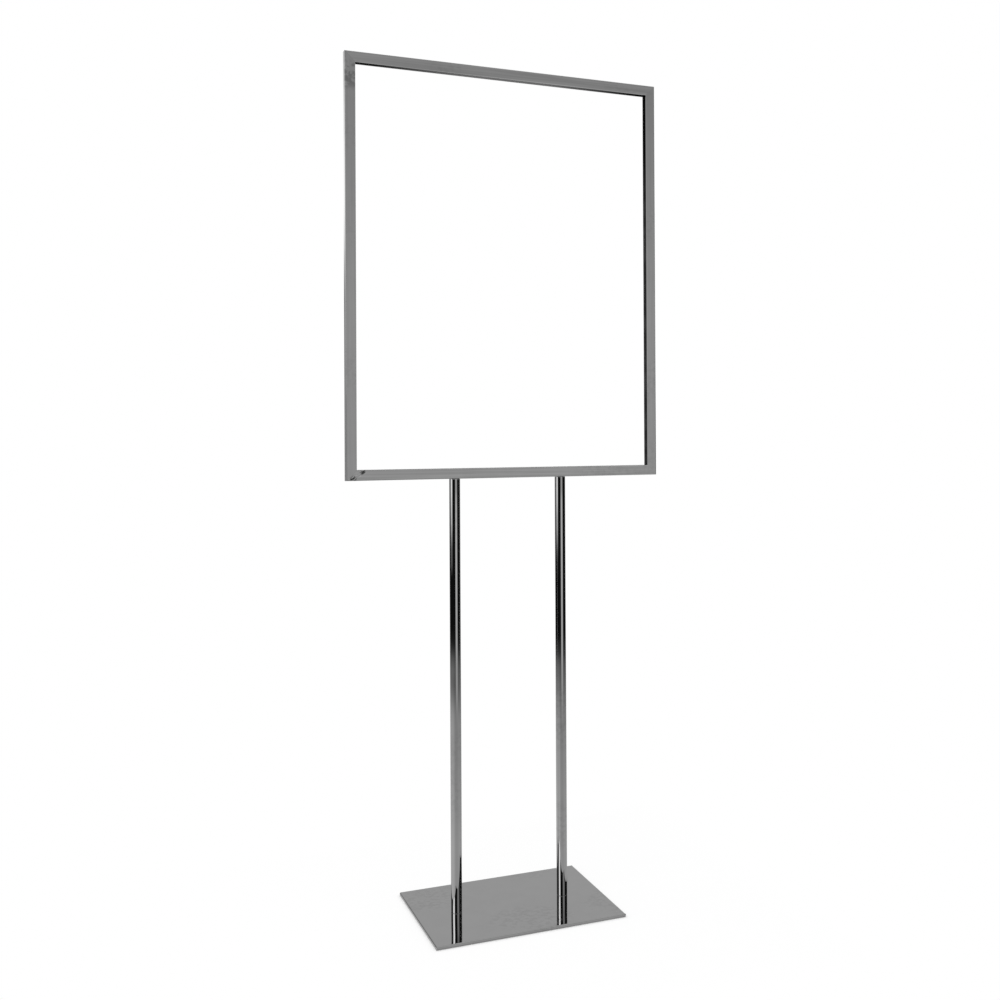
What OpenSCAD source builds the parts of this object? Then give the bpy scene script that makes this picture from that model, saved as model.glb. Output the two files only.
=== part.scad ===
// Sign stand: a mitred channel frame that takes a card from the top, on two round uprights
// and a flat base plate. The frame lifts off, because its spigots only slip into the uprights.
// Millimetres, +Z up. The origin is on the floor under the middle of the base plate, the width
// of the frame runs along X, and the frame and uprights stand in the plane Y = 0.

/* [Card] */
// Width of the card that the frame holds
card_w = 558.8; // [400:0.1:700]
// Height of the card that the frame holds
card_h = 711.2; // [500:0.1:900]
// Free space between each side edge of the card and the floor of the channel
side_play = 8.3; // [4:0.1:10]
// Half of the free height between the card and the floors of the top and bottom channels
end_play = 5.15; // [4.5:0.05:8]

/* [Channel] */
// Width of the channel's flat face, seen from the front
channel_face = 18; // [16:0.5:25]
// Depth of the channel from its front face to its back face
channel_depth = 14; // [13.4:0.1:20]
// Thickness of the channel's sheet steel
sheet_t = 1.2; // [1:0.1:1.5]
// Outer radius of the channel's two bends
bend_r = 1.5; // [1.2:0.1:2.5]
// Width of the slot in the top rail that the card drops through
slot_w = 6; // [3:0.5:8]

/* [Uprights] */
// Outer diameter of each upright tube
tube_d = 19.05; // [16:0.05:22]
// Wall of each upright tube
tube_wall = 1.5; // [1:0.1:2]
// Distance between the axes of the two uprights
upright_spacing = 197; // [120:1:300]
// Height of the underside of the frame above the floor
frame_z = 759; // [400:1:1200]

/* [Base] */
// Width of the base plate, along the frame
base_w = 338; // [250:1:420]
// Depth of the base plate, across the frame
base_d = 248; // [180:1:320]
// Thickness of the base plate
base_t = 5; // [4.6:0.1:8]
// Radius of the base plate's eased upper edge and corners
base_edge_r = 2; // [1:0.5:3]
// Thickness of the four pads under the base plate
pad_t = 1; // [0.5:0.5:3]

/* [Spigots] */
// Length of each spigot inside its upright
spigot_l = 60; // [30:1:100]
// Gap on the radius between a spigot and the bore of its upright
spigot_gap = 0.075; // [0.02:0.005:0.1]

/* [Hidden] */
$fn = 96;
eps = 0.01;

// Frame
frame_w = card_w + 2 * (side_play + sheet_t);
frame_h = card_h + 2 * (end_play + sheet_t);
slot_l = card_w + 6;

// Uprights and base
base_top = pad_t + base_t;
tube_r = tube_d / 2;
bore_r = tube_r - tube_wall;
tube_chamfer = 0.6;
upright_x = [-upright_spacing / 2, upright_spacing / 2];

// Plugs in the feet of the uprights, and the countersunk screws that hold them
plug_l = 25;
plug_chamfer = 0.8;
base_thread_r = 4;
base_hole_r = 4.4;
base_head_r = 7.5;
base_screw_l = 20;
base_head_sink = 0.2;
base_socket_r = 2.9;

// Spigots, and the low-headed screws that hold them inside the bottom rail
spigot_r = bore_r - spigot_gap;
spigot_tip = 2;
spigot_hole_l = 20;
frame_thread_r = 3;
frame_hole_r = 3.3;
frame_head_r = 5.2;
frame_head_h = 3.2;
frame_head_round = 0.8;
frame_screw_l = 16;
frame_socket_r = 2.3;
washer_r = 5.4;
washer_t = 1.3;
washer_slit = 1;

// Gap on the radius that stands for each thread
thread_gap = 0.05;
socket_l = 2.2;

pad_r = 10;
pad_inset = 24;

CHROME = [0.67, 0.67, 0.67];
ZINC = [0.56, 0.56, 0.56];
PAD_GREY = [0.12, 0.12, 0.12];

// ---- Shared shapes ------------------------------------------------------------------------

// Cross-section of the channel: its back web stands at x = 0 and it opens towards +X
module channel_section() {
    half = channel_depth / 2;
    inner_r = bend_r - sheet_t + eps;
    difference() {
        union() {
            translate([bend_r, -half]) square([channel_face - bend_r, channel_depth]);
            translate([0, bend_r - half]) square([2 * bend_r, channel_depth - 2 * bend_r]);
            for (side = [-1, 1])
                translate([bend_r, side * (half - bend_r)]) circle(bend_r);
        }
        translate([sheet_t + inner_r, sheet_t - half])
            square([channel_face, channel_depth - 2 * sheet_t]);
        translate([sheet_t, sheet_t + inner_r - half])
            square([channel_face, channel_depth - 2 * (sheet_t + inner_r)]);
        for (side = [-1, 1])
            translate([sheet_t + inner_r, side * (half - sheet_t - inner_r)]) circle(inner_r);
    }
}

// Straight channel of a given length along Z, cut to 45 degrees at both ends of its open side
module mitred_channel(length) {
    intersection() {
        linear_extrude(length) channel_section();
        rotate([90, 0, 0])
            linear_extrude(channel_depth + 2, center = true)
                polygon([
                    [0, 0], [channel_face, channel_face],
                    [channel_face, length - channel_face], [0, length]
                ]);
    }
}

// Turns a channel that stands along Z into a rail that runs from -X to +X and opens upwards
module lay_along_x() {
    translate([frame_w / 2, 0, 0]) rotate([0, -90, 0]) children();
}

// Round tube standing on z = 0, with its outer end edges broken and its bore's half as much
module round_tube(outer_r, inner_r, length, chamfer) {
    bore_chamfer = chamfer / 2;
    rotate_extrude()
        polygon([
            [inner_r, bore_chamfer], [inner_r + bore_chamfer, 0], [outer_r - chamfer, 0],
            [outer_r, chamfer], [outer_r, length - chamfer], [outer_r - chamfer, length],
            [inner_r + bore_chamfer, length], [inner_r, length - bore_chamfer]
        ]);
}

module hex_socket(circle_r, length) {
    cylinder(r = circle_r, h = length, $fn = 6);
}

// ---- Base ---------------------------------------------------------------------------------

module base_plate() {
    color(CHROME)
    translate([0, 0, pad_t])
    difference() {
        eased_plate(base_w, base_d, base_t, base_edge_r);
        for (x = upright_x) translate([x, 0, 0]) countersunk_hole();
    }
}

// Plate whose upper edges and upright corners share one radius
module eased_plate(width, depth, thick, r) {
    x_in = width / 2 - r;
    y_in = depth / 2 - r;
    z_in = thick - r;
    translate([-x_in, -y_in, 0]) cube([2 * x_in, 2 * y_in, thick]);
    translate([-x_in - r, -y_in, 0]) cube([2 * (x_in + r), 2 * y_in, z_in]);
    translate([-x_in, -y_in - r, 0]) cube([2 * x_in, 2 * (y_in + r), z_in]);
    for (x = [-x_in, x_in], y = [-y_in, y_in]) {
        translate([x, y, 0]) cylinder(r = r, h = z_in);
        translate([x, y, z_in]) sphere(r);
    }
    for (y = [-y_in, y_in])
        translate([-x_in, y, z_in]) rotate([0, 90, 0]) cylinder(r = r, h = 2 * x_in);
    for (x = [-x_in, x_in])
        translate([x, -y_in, z_in]) rotate([-90, 0, 0]) cylinder(r = r, h = 2 * y_in);
}

// Clearance hole that widens to a 90 degree countersink at the underside, z = 0
module countersunk_hole() {
    sink_r = base_head_r + base_head_sink + 0.2;
    translate([0, 0, -1]) cylinder(r = base_hole_r, h = base_t + 2);
    cylinder(r1 = sink_r, r2 = base_hole_r, h = sink_r - base_hole_r);
}

module base_pads() {
    color(PAD_GREY)
    for (x = [-1, 1], y = [-1, 1])
        translate([x * (base_w / 2 - pad_inset), y * (base_d / 2 - pad_inset), 0])
            cylinder(r = pad_r, h = pad_t);
}

// Two flat-headed screws, up through the base plate into the foot plugs
module base_screws() {
    color(ZINC)
    for (x = upright_x) translate([x, 0, pad_t + base_head_sink]) countersunk_screw();
}

module countersunk_screw() {
    shank_r = base_thread_r - thread_gap;
    difference() {
        union() {
            cylinder(r1 = base_head_r, r2 = shank_r, h = base_head_r - shank_r);
            cylinder(r = shank_r, h = base_screw_l - 1);
            translate([0, 0, base_screw_l - 1])
                cylinder(r1 = shank_r, r2 = shank_r - 0.8, h = 1);
        }
        translate([0, 0, -1]) hex_socket(base_socket_r, socket_l + 1);
    }
}

// ---- Uprights -----------------------------------------------------------------------------

module upright(x) {
    color(CHROME)
    translate([x, 0, base_top])
        round_tube(tube_r, bore_r, frame_z - base_top, tube_chamfer);
}

module left_upright() { upright(upright_x[0]); }
module right_upright() { upright(upright_x[1]); }

// Tapped steel plug, pressed into the foot of an upright and standing on the base plate
module foot_plug(x) {
    color(ZINC)
    translate([x, 0, base_top])
        rotate_extrude()
            polygon([
                [base_thread_r, 0], [bore_r - plug_chamfer, 0], [bore_r, plug_chamfer],
                [bore_r, plug_l - plug_chamfer], [bore_r - plug_chamfer, plug_l],
                [base_thread_r, plug_l]
            ]);
}

module left_foot_plug() { foot_plug(upright_x[0]); }
module right_foot_plug() { foot_plug(upright_x[1]); }

// ---- Frame --------------------------------------------------------------------------------

module bottom_rail() {
    color(CHROME)
    translate([0, 0, frame_z])
    difference() {
        lay_along_x() mitred_channel(frame_w);
        for (x = upright_x)
            translate([x, 0, -1]) cylinder(r = frame_hole_r, h = sheet_t + 2);
    }
}

// The rail the card is loaded through: its web is slotted along the whole width of the card
module top_rail() {
    color(CHROME)
    translate([0, 0, frame_z + frame_h])
    difference() {
        rotate([180, 0, 0]) lay_along_x() mitred_channel(frame_w);
        translate([0, 0, -sheet_t - 1]) linear_extrude(sheet_t + 2) card_slot();
    }
}

module card_slot() {
    flat_l = slot_l - slot_w;
    square([flat_l, slot_w], center = true);
    for (x = [-flat_l / 2, flat_l / 2]) translate([x, 0]) circle(slot_w / 2);
}

module stile() {
    color(CHROME)
    translate([-frame_w / 2, 0, frame_z]) mitred_channel(frame_h);
}

module left_stile() { stile(); }
module right_stile() { rotate([0, 0, 180]) stile(); }

// Solid pin under the bottom rail, tapped from above, with a tapered tip that finds the bore
module spigot(x) {
    color(ZINC)
    translate([x, 0, frame_z])
        rotate_extrude()
            polygon([
                [0, -spigot_l], [spigot_r - spigot_tip, -spigot_l],
                [spigot_r, -spigot_l + 2 * spigot_tip], [spigot_r, 0],
                [frame_thread_r, 0], [frame_thread_r, -spigot_hole_l],
                [0, -spigot_hole_l - frame_thread_r / 2]
            ]);
}

module left_spigot() { spigot(upright_x[0]); }
module right_spigot() { spigot(upright_x[1]); }

// Two low-headed screws inside the bottom channel, down through its web into the spigots
module frame_screws() {
    color(ZINC)
    for (x = upright_x) translate([x, 0, frame_z + sheet_t + washer_t]) low_head_screw();
}

module low_head_screw() {
    shank_r = frame_thread_r - thread_gap;
    difference() {
        rotate_extrude()
            polygon([
                [0, -frame_screw_l], [shank_r - 0.8, -frame_screw_l],
                [shank_r, 1 - frame_screw_l], [shank_r, 0],
                [frame_head_r, 0], [frame_head_r, frame_head_h - frame_head_round],
                [frame_head_r - frame_head_round, frame_head_h], [0, frame_head_h]
            ]);
        translate([0, 0, frame_head_h - socket_l]) hex_socket(frame_socket_r, socket_l + 1);
    }
}

// Split spring washer under the head of each frame screw
module frame_lock_washers() {
    color(ZINC)
    for (x = upright_x)
        translate([x, 0, frame_z + sheet_t])
            difference() {
                cylinder(r = washer_r, h = washer_t);
                translate([0, 0, -1]) cylinder(r = frame_hole_r, h = washer_t + 2);
                translate([0, -washer_slit / 2, -1])
                    cube([washer_r + 1, washer_slit, washer_t + 2]);
            }
}

base_plate();
base_pads();
base_screws();
left_upright();
right_upright();
left_foot_plug();
right_foot_plug();
bottom_rail();
top_rail();
left_stile();
right_stile();
left_spigot();
right_spigot();
frame_screws();
frame_lock_washers();
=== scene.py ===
import math

import bpy
from mathutils import Matrix, Vector


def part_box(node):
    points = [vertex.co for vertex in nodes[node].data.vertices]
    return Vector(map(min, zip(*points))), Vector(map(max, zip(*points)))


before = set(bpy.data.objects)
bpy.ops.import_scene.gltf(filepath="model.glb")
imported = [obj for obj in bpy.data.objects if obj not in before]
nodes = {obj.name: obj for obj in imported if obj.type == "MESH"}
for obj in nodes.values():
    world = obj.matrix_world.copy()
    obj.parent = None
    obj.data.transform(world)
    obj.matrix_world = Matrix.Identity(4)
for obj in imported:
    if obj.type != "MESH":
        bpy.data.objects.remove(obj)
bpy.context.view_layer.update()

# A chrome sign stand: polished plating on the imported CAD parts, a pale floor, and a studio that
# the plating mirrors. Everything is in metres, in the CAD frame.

scene = bpy.context.scene
scene.view_settings.view_transform = "Standard"

# The frame of channel, the base plate and the spigots, as the CAD has them
FRAME_LOW, FRAME_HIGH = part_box("bottom_rail")[0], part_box("top_rail")[1]
RAIL_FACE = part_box("bottom_rail")[1].z - FRAME_LOW.z
CHANNEL_HALF = (FRAME_HIGH.y - FRAME_LOW.y) / 2
SHEET = 0.0012
BASE_LOW, BASE_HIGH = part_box("base_plate")
SPIGOT_X = (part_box("right_spigot")[0].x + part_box("right_spigot")[1].x) / 2

# Edges that polishing has rolled over, each as its width and its drop
PLATE_ROLL = (0.006, 0.00003)
LIP_ROLL = (0.0016, 0.00010)
# Height of the shaded foot of the base plate's edge
SHADED_FOOT = 0.0025

# Wear on the front of the frame. The smudge is this far below the frame's top, and the file
# marks are this far right of and above its lower left corner
SMUDGE_DROP = 0.040
FILE_MARKS_AT = (0.020, 0.0085)
FILE_MARKS_DIRECTION = (0.80, 0.60)
FILE_MARKS_HALF_LENGTH = 0.016

# Brightness of the studio's surfaces, as the chrome mirrors them
BLACK_WALL = 0.006
GREY_WALL = 0.23
DIM_WALL = 0.16
WING_GREY = 0.32
FLAT_GREY = 0.27
FLAG_GREY = 0.42
BACKDROP_WHITE = 1.20
BACKDROP_TOP = 0.42
CEILING_LOW = 0.28
CEILING_HIGH = 0.46

# Where they begin and end, in degrees of azimuth: 0 is towards the camera, and it grows to the
# camera's right
WING = (-25, 25)
CARD = (13, 53)
SOFTBOX = (-86, -49)
FLAG = (-76.5, -64.5)
SIDE_WALL = (-139, -87)
LEFT_FLAT = (-166, -139)
RIGHT_FLAT = (139, 161)
FLOOR_FRONT = (-20, 45)
SHEEN_LEFT = (-95, -50)
SHEEN_RIGHT = (95, 160)
SHEEN_DARK = (-12, 45)

# The camera stands left of the stand's centre line and looks back to the right, almost level.
CAMERA_AT = Vector((-0.6800, -1.9781, 0.8434))
CAMERA_YAW, CAMERA_PITCH, CAMERA_ROLL = 0.3923, 0.0048, -0.0050
CAMERA_LENS, SENSOR_HIGH, SENSOR_WIDE = 42.34, 36.0, 31.0
CAMERA_SHIFT = (-0.080, -0.076)


# ---- Node helpers ---------------------------------------------------------------------------

class Value:
    """An output of a shader node. Python's signs for arithmetic and comparison make math nodes
    out of values and plain numbers."""

    def __init__(self, graph, socket):
        self.graph = graph
        self.socket = socket

    def __add__(self, other):
        return self.graph.math("ADD", self, other)

    def __sub__(self, other):
        return self.graph.math("SUBTRACT", self, other)

    def __rsub__(self, other):
        return self.graph.math("SUBTRACT", other, self)

    def __mul__(self, other):
        return self.graph.math("MULTIPLY", self, other)

    def __truediv__(self, other):
        return self.graph.math("DIVIDE", self, other)

    def __abs__(self):
        return self.graph.math("ABSOLUTE", self)

    def __lt__(self, other):
        return self.graph.math("LESS_THAN", self, other)

    def __gt__(self, other):
        return self.graph.math("GREATER_THAN", self, other)


class Graph:
    """Short names for the shader nodes of one tree. Inputs are values or plain numbers."""

    def __init__(self, tree):
        self.tree = tree
        tree.nodes.clear()

    def node(self, kind, **settings):
        made = self.tree.nodes.new(kind)
        for name, setting in settings.items():
            setattr(made, name, setting)
        return made

    def output(self, made, name=0):
        return Value(self, made.outputs[name])

    def show(self, made, output_kind):
        """Ends the tree: made is what the material or the world shows."""
        self.put(self.node(output_kind).inputs["Surface"], self.output(made))

    def put(self, socket, value):
        if isinstance(value, Value):
            self.tree.links.new(value.socket, socket)
        else:
            socket.default_value = value

    def math(self, operation, *values, clamp=False):
        made = self.node("ShaderNodeMath", operation=operation, use_clamp=clamp)
        for socket, value in zip(made.inputs, values):
            self.put(socket, value)
        return self.output(made)

    def largest(self, first, *others):
        for other in others:
            first = self.math("MAXIMUM", first, other)
        return first

    def smaller(self, first, second):
        return self.math("MINIMUM", first, second)

    def step(self, value, start, end, low=0.0, high=1.0):
        """Smooth step of value: low at start and high at end, and flat beyond both."""
        made = self.node("ShaderNodeMapRange", interpolation_type="SMOOTHSTEP")
        for name, item in (("Value", value), ("From Min", start), ("From Max", end),
                           ("To Min", low), ("To Max", high)):
            self.put(made.inputs[name], item)
        return self.output(made)

    def mix(self, share, low, high):
        """Plain number between low and high, by share."""
        made = self.node("ShaderNodeMix", data_type="FLOAT")
        for socket, value in zip((made.inputs[0], made.inputs[2], made.inputs[3]),
                                 (share, low, high)):
            self.put(socket, value)
        return self.output(made)

    def grey(self, brightness):
        made = self.node("ShaderNodeCombineColor")
        for channel in made.inputs:
            self.put(channel, brightness)
        return self.output(made)

    def split(self, vector):
        made = self.node("ShaderNodeSeparateXYZ")
        self.put(made.inputs[0], vector)
        return [self.output(made, i) for i in range(3)]

    def scaled(self, vector, scale):
        made = self.node("ShaderNodeMapping")
        self.put(made.inputs["Vector"], vector)
        made.inputs["Scale"].default_value = scale
        return self.output(made)

    def flat_vector(self, x, y):
        made = self.node("ShaderNodeCombineXYZ")
        self.put(made.inputs[0], x)
        self.put(made.inputs[1], y)
        return self.output(made)

    def noise(self, vector, scale=1.0, detail=2.0):
        made = self.node("ShaderNodeTexNoise")
        self.put(made.inputs["Vector"], vector)
        made.inputs["Scale"].default_value = scale
        made.inputs["Detail"].default_value = detail
        return self.output(made)

    def bump(self, height, distance, normal=None):
        made = self.node("ShaderNodeBump")
        made.inputs["Strength"].default_value = 1.0
        made.inputs["Distance"].default_value = distance
        self.put(made.inputs["Height"], height)
        if normal is not None:
            self.put(made.inputs["Normal"], normal)
        return self.output(made)

    def rolled(self, inset, roll, normal):
        """Normal of a face that falls away by roll's drop over roll's width, next to the edge
        where inset is 0."""
        width, drop = roll
        share = self.math("SUBTRACT", 1.0, inset / width, clamp=True)
        height = 1.0 - self.math("POWER", share, 2.0)
        return self.bump(height, drop, normal)


def empty_material(name):
    """Returns the material, its graph and the place on the object."""
    material = bpy.data.materials.new(name)
    material.use_nodes = True
    g = Graph(material.node_tree)
    return material, g, g.output(g.node("ShaderNodeTexCoord"), "Object")


def shaded_material(name):
    """Returns the material, its graph, the place on the object and the shader's inputs."""
    material, g, place = empty_material(name)
    shader = g.node("ShaderNodeBsdfPrincipled")
    g.show(shader, "ShaderNodeOutputMaterial")
    return material, g, place, shader.inputs


# ---- Chrome ---------------------------------------------------------------------------------

class Chrome:
    """Mirror chrome with long polishing waves, fine marks drawn out by grain, and faint smudges.
    Its tone, roughness and normal can be worked on until it is finished."""

    def __init__(self, name, grain, brightness=0.665):
        self.material, self.graph, self.place, self.shader = shaded_material(name)
        g = self.graph
        waves = g.noise(self.place, scale=9.0, detail=1.0)
        marks = g.noise(g.scaled(self.place, grain), detail=3.0)
        smudges = g.noise(self.place, scale=34.0, detail=4.0)
        handled = g.step(g.noise(self.place, scale=7.0, detail=0.0), 0.52, 0.66)
        patches = g.step(g.noise(self.place, scale=120.0, detail=3.0), 0.42, 0.62)
        grime = handled * patches

        smudged = g.step(smudges, 0.30, 0.75, low=brightness, high=brightness - 0.02)
        self.tone = smudged - grime * 0.06
        self.roughness = g.step(smudges, 0.45, 0.75, low=0.018, high=0.050) + grime * 0.05
        self.normal = g.bump(marks, 0.0000012, g.bump(waves, 0.0006))
        self.metallic = 1.0
        self.specular = 0.5

    def finished(self):
        g = self.graph
        g.put(self.shader["Base Color"], g.grey(self.tone))
        g.put(self.shader["Roughness"], self.roughness)
        g.put(self.shader["Normal"], self.normal)
        g.put(self.shader["Metallic"], self.metallic)
        g.put(self.shader["Specular IOR Level"], self.specular)
        return self.material


def tube_chrome(name):
    return Chrome(name, grain=(300, 300, 12)).finished()


def plate_chrome(name):
    """Chrome of the base plate, rolled off a little towards its edges by polishing. The foot of
    its edge mirrors the shaded floor, so it is darker."""
    chrome = Chrome(name, grain=(60, 60, 60))
    g = chrome.graph
    x, y, z = g.split(chrome.place)
    inset = g.smaller(BASE_HIGH.x - abs(x), BASE_HIGH.y - abs(y))
    chrome.tone -= g.step(z, BASE_LOW.z + SHADED_FOOT, BASE_LOW.z, high=0.16)
    chrome.normal = g.rolled(inset, PLATE_ROLL, chrome.normal)
    return chrome.finished()


class FramePlace:
    """Where a point lies on the frame of channel."""

    def __init__(self, chrome):
        g = chrome.graph
        self.x, self.y, self.z = g.split(chrome.place)
        # How far in it is from the frame's left or right side, from its top or bottom end, and
        # from the nearer of the two
        self.side = FRAME_HIGH.x - abs(self.x)
        self.end = g.smaller(self.z - FRAME_LOW.z, FRAME_HIGH.z - self.z)
        self.edge = g.smaller(self.side, self.end)
        # The farther of the two is how far it is from the corner, along the channel
        self.corner = g.largest(self.side, self.end)
        self.on_left = g.step(self.x, 0.0, -0.1)
        self.in_front = self.y < 0.0


def add_streaks(chrome, streak, strength):
    """Rolling streaks, drawn out along the channel."""
    g = chrome.graph
    streaks = g.noise(g.scaled(chrome.place, streak))
    chrome.tone += g.step(streaks, 0.3, 0.7, low=-strength, high=strength)


def round_lip(chrome, at):
    """The lip that polishing has rounded over, with a painted highlight along it on the right
    half of the frame.
    """
    g = chrome.graph
    to_lip = RAIL_FACE - at.edge
    # Painted highlight: the lip is paler on the right half of the frame, standing in for light
    # caught on its rounded edge.
    painted_lip_highlight = g.step(to_lip, 0.0020, 0.0006) * g.step(at.x, -0.1, 0.1)
    chrome.tone += painted_lip_highlight * 0.10
    chrome.normal = g.rolled(to_lip, LIP_ROLL, chrome.normal)


def add_weld_lines(chrome, at):
    """The line of the weld on each mitre, mostly polished away, and least so on the left."""
    g = chrome.graph
    off_mitre = abs(at.side - at.end)
    on_face = g.step(at.corner, RAIL_FACE, RAIL_FACE * 0.95)
    left_over = g.step(g.noise(chrome.place, scale=60.0), 0.35, 0.60, low=0.3)
    left_over = left_over * g.mix(at.on_left, 0.05, 0.8)
    line = g.step(off_mitre, 0.0009, 0.0002) * left_over
    seam = on_face * line
    chrome.roughness += seam * 0.10
    chrome.tone -= seam * 0.13


def add_ripple(chrome, at):
    """Uneven metal round the welded mitres, and low on the bottom rail over the spigots."""
    g = chrome.graph
    from_spigot = abs(abs(at.x) - SPIGOT_X)
    by_spigot = g.step(from_spigot, 0.020, 0.008)
    by_spigot = by_spigot * g.step(at.z, FRAME_LOW.z + 0.015, FRAME_LOW.z + 0.007)
    uneven = g.largest(g.step(at.corner, RAIL_FACE * 2.2, RAIL_FACE), by_spigot)
    ripple = g.noise(chrome.place, scale=170.0, detail=1.0) * uneven
    chrome.normal = g.bump(ripple, 0.00003, chrome.normal)


def add_smudge(chrome, at):
    """A mottled smudge on the front of the left stile, near its top."""
    g = chrome.graph
    from_middle = abs(FRAME_HIGH.z - SMUDGE_DROP - at.z)
    smudge = g.step(from_middle, 0.030, 0.012) * g.step(at.side, 0.03, 0.02) * at.in_front
    mottle = g.step(g.noise(chrome.place, scale=110.0, detail=3.0), 0.42, 0.58, low=0.08)
    left_mottle = at.on_left * mottle
    chrome.tone -= smudge * left_mottle * 0.24


def add_file_marks(chrome, at):
    """File marks on the front, up to the right across the bottom rail from the lower left mitre.
    They are deepest near their two ends, and wider at the lower one."""
    g = chrome.graph
    along, rise = FILE_MARKS_DIRECTION
    out = at.x - (FRAME_LOW.x + FILE_MARKS_AT[0])
    up = at.z - (FRAME_LOW.z + FILE_MARKS_AT[1])
    lengthwise = out * along + up * rise
    across = up * along - out * rise
    from_middle = abs(lengthwise)
    filed = g.step(from_middle, FILE_MARKS_HALF_LENGTH, FILE_MARKS_HALF_LENGTH - 0.003)
    filed = filed * g.step(from_middle, 0.003, 0.008, low=0.15)
    half_width = g.step(lengthwise, -0.002, -0.006, low=0.0040, high=0.0070)
    filed = filed * g.step(abs(across), half_width, half_width * 0.5) * at.in_front
    strokes = g.noise(g.flat_vector(lengthwise * 130.0, across * 420.0), detail=1.0)
    cuts = filed * g.step(strokes, 0.42, 0.52)
    chrome.normal = g.bump(cuts, 0.0002, chrome.normal)
    chrome.tone *= g.mix(cuts, 1.0, 0.15)


def dull_inside(chrome, at, is_rail):
    """The inside of the channel, where plating hardly reaches: matt, and painted dark as shade.
    The painted shade is deepest at the top corners, where the least light gets in, and the rails
    are painted paler, as lit through the card slot."""
    g = chrome.graph
    within = abs(at.y) < CHANNEL_HALF - SHEET * 0.95
    beyond_web = at.edge > SHEET * 0.5
    inside = within * beyond_web
    # A dark matt tone for the inside: partly the poorly plated metal, partly painted shade in the
    # channel's hollow.
    dull_tone_and_painted_shading = g.step(g.noise(chrome.place, scale=40.0), 0.35, 0.65, low=0.04, high=0.08)
    # Painted shade: much darker towards the top of the frame, where the least light gets in.
    dull_tone_and_painted_shading = dull_tone_and_painted_shading * g.step(at.z, FRAME_HIGH.z - 0.28, FRAME_HIGH.z - 0.10, low=1.0, high=0.08)
    # Painted light: the rails are paler towards their middle, as lit through the card slot.
    if is_rail:
        lit = g.step(abs(at.x), 0.27, 0.05)
        dull_tone_and_painted_shading = dull_tone_and_painted_shading + lit * 0.25
    chrome.roughness = g.mix(inside, chrome.roughness, 0.6)
    chrome.tone = g.mix(inside, chrome.tone, dull_tone_and_painted_shading)
    chrome.metallic = 1.0 - inside
    chrome.specular = g.mix(inside, 0.5, 0.1)


def channel_chrome(name, grain, streak, streak_strength, brightness, is_rail):
    chrome = Chrome(name, grain, brightness)
    at = FramePlace(chrome)
    add_streaks(chrome, streak, streak_strength)
    round_lip(chrome, at)
    add_weld_lines(chrome, at)
    add_ripple(chrome, at)
    add_smudge(chrome, at)
    add_file_marks(chrome, at)
    dull_inside(chrome, at, is_rail)
    return chrome.finished()


# ---- Zinc and rubber ------------------------------------------------------------------------

def zinc_steel(name):
    """Turned steel under bright zinc: fine rings round the axis and a soft, mottled shine."""
    material, g, place, shader = shaded_material(name)
    rings = g.noise(g.scaled(place, (10, 10, 1600)))
    mottle = g.noise(place, scale=140.0, detail=3.0)
    g.put(shader["Base Color"], g.grey(g.step(mottle, 0.3, 0.7, low=0.52, high=0.60)))
    g.put(shader["Roughness"], g.step(mottle, 0.3, 0.7, low=0.09, high=0.15))
    g.put(shader["Normal"], g.bump(rings, 0.000003))
    g.put(shader["Metallic"], 1.0)
    return material


def pad_rubber(name):
    """Matt black rubber with a pebbled face."""
    material, g, place, shader = shaded_material(name)
    pebble = g.noise(place, scale=2600.0)
    g.put(shader["Base Color"], g.grey(g.step(pebble, 0.3, 0.7, low=0.010, high=0.022)))
    g.put(shader["Normal"], g.bump(pebble, 0.00005))
    g.put(shader["Roughness"], 0.85)
    return material


# ---- Studio ---------------------------------------------------------------------------------

class StudioGraph(Graph):
    """Graph of the world, with the azimuth and elevation of each direction in degrees."""

    def __init__(self, tree):
        super().__init__(tree)
        toward = Vector((CAMERA_AT.x, CAMERA_AT.y, 0)).normalized()
        right = Vector((-toward.y, toward.x, 0))
        x, y, z = self.split(self.output(self.node("ShaderNodeTexCoord"), "Generated"))
        to_right = x * right.x + y * right.y
        to_camera = x * toward.x + y * toward.y
        degrees = 180 / math.pi
        self.azimuth = self.math("ARCTAN2", to_right, to_camera) * degrees
        self.elevation = self.math("ARCSINE", z) * degrees

    def turn(self, start, end, low=0.0, high=1.0):
        """Smooth step by azimuth."""
        return self.step(self.azimuth, start, end, low, high)

    def height(self, start, end, low=0.0, high=1.0):
        """Smooth step by elevation."""
        return self.step(self.elevation, start, end, low, high)

    def band(self, span, soft, lean=0.0):
        """1 between the two azimuths of span, with edges soft degrees wide; lean is the band's
        drift in azimuth for each degree of elevation."""
        start, end = span
        upright = self.azimuth - self.elevation * lean
        rise = self.step(upright, start - soft / 2, start + soft / 2)
        fall = self.step(upright, end + soft / 2, end - soft / 2)
        return rise * fall


def dark_walls(g):
    """Black walls with a grey stretch above eye level, and a paler wing above the camera."""
    above_eye = g.height(-1, 3) * g.height(18.5, 16.5)
    walls = g.mix(above_eye, BLACK_WALL, GREY_WALL)
    wing = g.band(WING, 10) * above_eye * WING_GREY
    return g.largest(walls, wing)


def backdrop(g):
    """A white backdrop behind the stand, with a low grey flat at each of its ends."""
    low = g.height(11, 6)
    behind = g.largest(g.turn(158, 165), g.turn(-139, -146))
    white = behind * g.height(20.5, 12.5, BACKDROP_TOP, BACKDROP_WHITE)
    white = g.mix(g.band(LEFT_FLAT, 6) * low, white, FLAT_GREY)
    right_flat = g.band(RIGHT_FLAT, 6) * low * FLAT_GREY
    return g.largest(white, right_flat)


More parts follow.
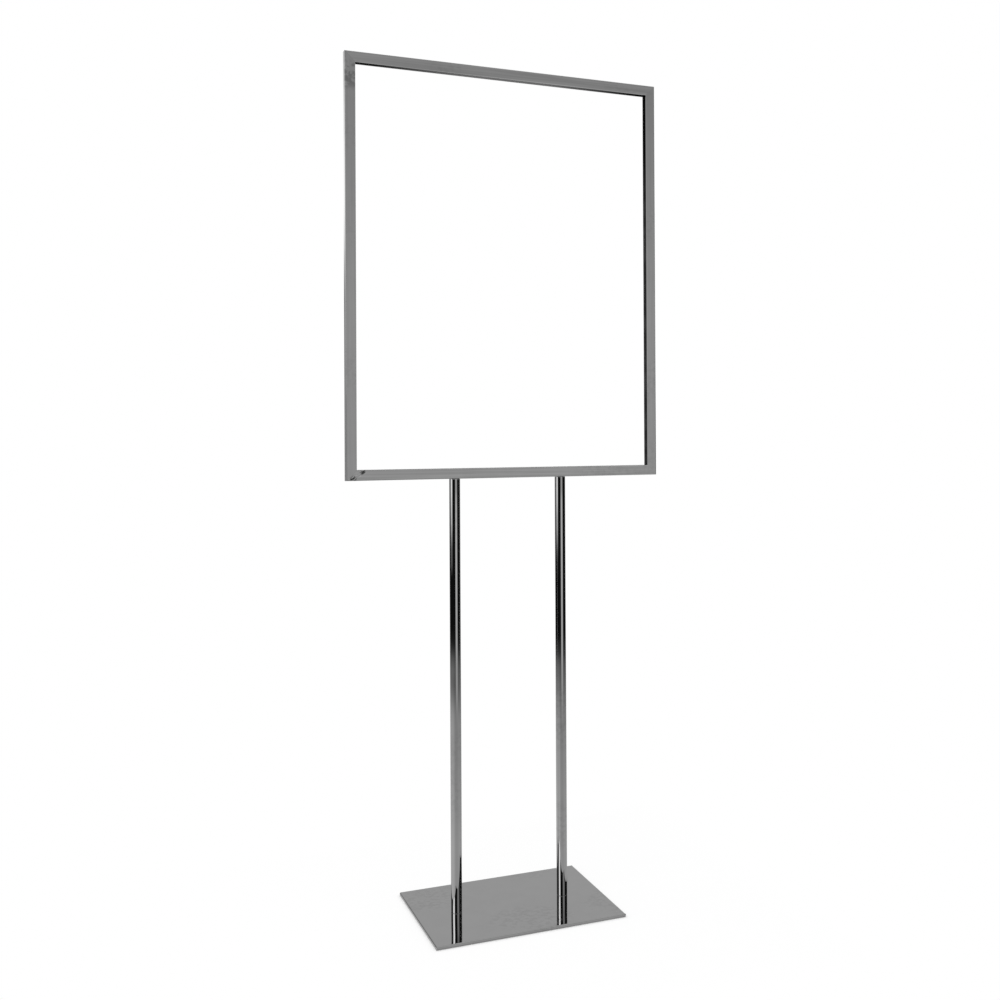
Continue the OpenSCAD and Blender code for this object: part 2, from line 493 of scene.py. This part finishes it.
def left_lights(g):
    """A bright leaning softbox on the left, and a dim wall between it and the backdrop. A grey
    flag covers the end of the softbox's upper part that is nearer to the backdrop."""
    softbox = g.band(SOFTBOX, 6, lean=0.6) * g.height(0, 22, low=1.0, high=1.4)
    flag_height = g.height(10, 14) * g.height(22.0, 21.3)
    softbox = g.mix(g.band(FLAG, 3) * flag_height, softbox, FLAG_GREY)
    side_wall = g.band(SIDE_WALL, 6) * g.height(14, -3, low=0.04, high=DIM_WALL)
    return g.height(-7.3, -2.2) * (softbox + side_wall)


def grey_card(g):
    """A grey card on the right, brighter below the camera's level."""
    upper = g.height(4, 17, low=0.394, high=g.turn(32, 46, low=0.316, high=0.296))
    lower = g.height(-10, -5, low=0.486, high=0.566)
    card = g.mix(g.height(-3.6, -2.6), lower, upper)
    extent = g.band(CARD, 5, lean=0.3) * g.height(26, 22)
    return card * extent


def studio_floor(g):
    """The floor, paler on the left and a little darker in front of the camera. Close to the
    stand it is glossy, and mirrors the lights and the dark wall between them."""
    ground = g.height(-13, -20, low=0.32, high=0.41) + g.turn(-5, -70, high=0.11)
    ground = ground - g.band(FLOOR_FRONT, 40) * 0.035
    lights = g.largest(g.band(SHEEN_LEFT, 25), g.band(SHEEN_RIGHT, 30) * 0.75)
    sheen = lights * 0.42 - g.band(SHEEN_DARK, 20) * 0.24
    return ground + sheen * g.height(-22, -30)


def studio_world():
    """White to the camera and to matt surfaces. Chrome mirrors a studio laid out round the
    stand, with a grey ceiling that is paler overhead."""
    world = bpy.data.worlds.new("studio")
    scene.world = world
    world.use_nodes = True
    g = StudioGraph(world.node_tree)
    walls = g.largest(dark_walls(g), backdrop(g), left_lights(g), grey_card(g))
    mirrored = g.mix(g.height(-9.5, -14.5), walls, studio_floor(g))
    ceiling = g.height(34, 46, CEILING_LOW, CEILING_HIGH)
    mirrored = g.mix(g.height(24, 34), mirrored, ceiling)

    is_mirrored = g.output(g.node("ShaderNodeLightPath"), "Is Glossy Ray")
    background = g.node("ShaderNodeBackground")
    g.put(background.inputs["Color"], g.grey(g.mix(is_mirrored, 1.0, mirrored)))
    g.show(background, "ShaderNodeOutputWorld")


def floor_material():
    """Matt and pale, shaded close to the base plate, fading into the white background."""
    material, g, place = empty_material("pale_floor")
    matt = g.node("ShaderNodeBsdfPrincipled")
    matt.inputs["Base Color"].default_value = (0.94, 0.94, 0.94, 1)
    matt.inputs["Roughness"].default_value = 0.9
    matt.inputs["Specular IOR Level"].default_value = 0.1
    x, y, z = g.split(place)
    outside = g.largest(abs(x) - BASE_HIGH.x, abs(y) - BASE_HIGH.y)
    near_plate = g.step(outside, -0.004, 0.010, low=0.10, high=0.80)
    whiteness = g.largest(near_plate, g.step(outside, 0.0, 0.35))
    blend = g.node("ShaderNodeMixShader")
    g.put(blend.inputs[0], whiteness)
    g.put(blend.inputs[1], g.output(matt))
    g.put(blend.inputs[2], g.output(g.node("ShaderNodeEmission")))
    g.show(blend, "ShaderNodeOutputMaterial")
    return material


def pale_floor():
    bpy.ops.mesh.primitive_plane_add(size=30, location=(0, 0, 0))
    floor = bpy.context.object
    floor.name = "floor"
    floor.visible_glossy = False
    floor.data.materials.append(floor_material())


def soft_light():
    """A large soft lamp, high on the left in front. The chrome doesn't mirror it."""
    data = bpy.data.lights.new("softbox", "AREA")
    data.size = 2.0
    data.energy = 12
    light = bpy.data.objects.new("softbox", data)
    light.location = (-1.6, -1.4, 2.6)
    light.rotation_euler = (-light.location).to_track_quat("-Z", "Y").to_euler()
    light.visible_glossy = False
    light.visible_camera = False
    scene.collection.objects.link(light)


def camera():
    data = bpy.data.cameras.new("camera")
    data.sensor_fit = "VERTICAL"
    data.sensor_height = SENSOR_HIGH
    data.sensor_width = SENSOR_WIDE
    data.lens = CAMERA_LENS
    data.shift_x, data.shift_y = CAMERA_SHIFT
    forward = Vector((math.sin(CAMERA_YAW) * math.cos(CAMERA_PITCH),
                      math.cos(CAMERA_YAW) * math.cos(CAMERA_PITCH), math.sin(CAMERA_PITCH)))
    level = Vector((math.cos(CAMERA_YAW), -math.sin(CAMERA_YAW), 0))
    upright = level.cross(forward)
    right = level * math.cos(CAMERA_ROLL) + upright * math.sin(CAMERA_ROLL)
    up = upright * math.cos(CAMERA_ROLL) - level * math.sin(CAMERA_ROLL)
    turn = Matrix((right, up, -forward)).transposed()
    made = bpy.data.objects.new("camera", data)
    made.matrix_world = Matrix.Translation(CAMERA_AT) @ turn.to_4x4()
    scene.collection.objects.link(made)
    scene.camera = made


# ---- Dressing the CAD parts -----------------------------------------------------------------

def dress(names, material):
    for name in names:
        slots = nodes[name].data.materials
        slots.clear()
        slots.append(material)


dress(["bottom_rail", "top_rail"],
      channel_chrome("chrome_rail", grain=(40, 900, 900), streak=(5, 300, 300),
                     streak_strength=0.062, brightness=0.675, is_rail=True))
dress(["left_stile", "right_stile"],
      channel_chrome("chrome_stile", grain=(900, 900, 40), streak=(300, 300, 5),
                     streak_strength=0.025, brightness=0.645, is_rail=False))
dress(["left_upright", "right_upright"], tube_chrome("chrome_tube"))
dress(["base_plate"], plate_chrome("chrome_base"))
dress(["left_foot_plug", "right_foot_plug", "left_spigot", "right_spigot",
       "base_screws", "frame_screws", "frame_lock_washers"], zinc_steel("zinc_steel"))
dress(["base_pads"], pad_rubber("pad_rubber"))

studio_world()
pale_floor()
soft_light()
camera()
